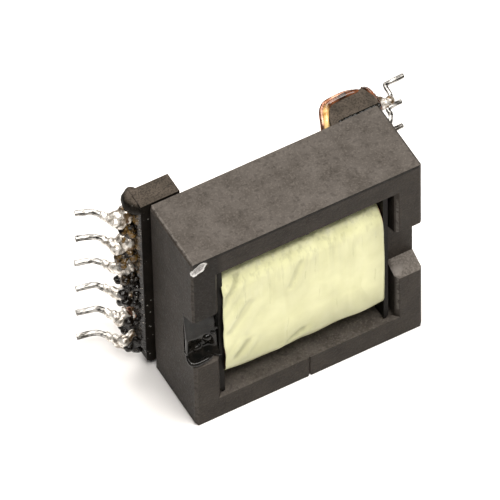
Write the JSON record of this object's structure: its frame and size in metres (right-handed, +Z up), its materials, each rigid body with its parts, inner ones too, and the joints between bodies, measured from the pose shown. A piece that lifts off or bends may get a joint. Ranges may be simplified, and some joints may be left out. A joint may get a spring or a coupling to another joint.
{
  "type": "surface-mount pcb transformer",
  "caption": "Low-profile ferrite power transformer on a coil former with formed surface-mount pins, its coil wrapped in pale yellow tape, standing on one long edge of its core.",
  "frame": {"origin": "under the middle of the whole part, on the surface that it stands on", "axes": "+X along the coil, from the left rail to the right rail; +Y towards the circuit board side; +Z up, along the long edge of the core"},
  "size_m": [0.0286, 0.0106, 0.02],
  "materials": {
    "ferrite": "matt pressed and sintered ferrite",
    "former_plastic": "moulded, slightly glossy",
    "winding_copper": "enamelled copper",
    "interlayer_tape": "thin polyester film",
    "outer_tape": "wrinkled polyester film with a soft sheen",
    "resin": "cast, wet-looking gloss",
    "tinned_pin": "bright tin",
    "lead_copper": "enamelled copper, varnished",
    "solder": "bright solder with flux stains"
  },
  "bodies": {
    "root": {"core_half_left": "ferrite", "core_half_right": "ferrite", "coil_former": "former_plastic", "primary_winding": "winding_copper", "interlayer_tape_inner": "interlayer_tape", "secondary_winding": "winding_copper", "interlayer_tape_outer": "interlayer_tape", "auxiliary_winding": "winding_copper", "outer_tape": "outer_tape", "notch_resin": "resin", "rail_glue_left": "resin", "rail_glue_right": "resin", "pin_1": "tinned_pin", "lead_1": "lead_copper", "solder_1": "solder", "pin_2": "tinned_pin", "lead_2": "lead_copper", "solder_2": "solder", "pin_3": "tinned_pin", "lead_3": "lead_copper", "solder_3": "solder", "pin_4": "tinned_pin", "lead_4": "lead_copper", "solder_4": "solder", "pin_5": "tinned_pin", "lead_5": "lead_copper", "solder_5": "solder", "pin_6": "tinned_pin", "lead_6": "lead_copper", "solder_6": "solder", "pin_7": "tinned_pin", "lead_7": "lead_copper", "solder_7": "solder", "pin_8": "tinned_pin", "lead_8": "lead_copper", "solder_8": "solder", "pin_9": "tinned_pin", "lead_9": "lead_copper", "solder_9": "solder", "pin_10": "tinned_pin", "lead_10": "lead_copper", "solder_10": "solder", "pin_11": "tinned_pin", "lead_11": "lead_copper", "solder_11": "solder", "pin_12": "tinned_pin", "lead_12": "lead_copper", "solder_12": "solder"}
  },
  "joints": []
}
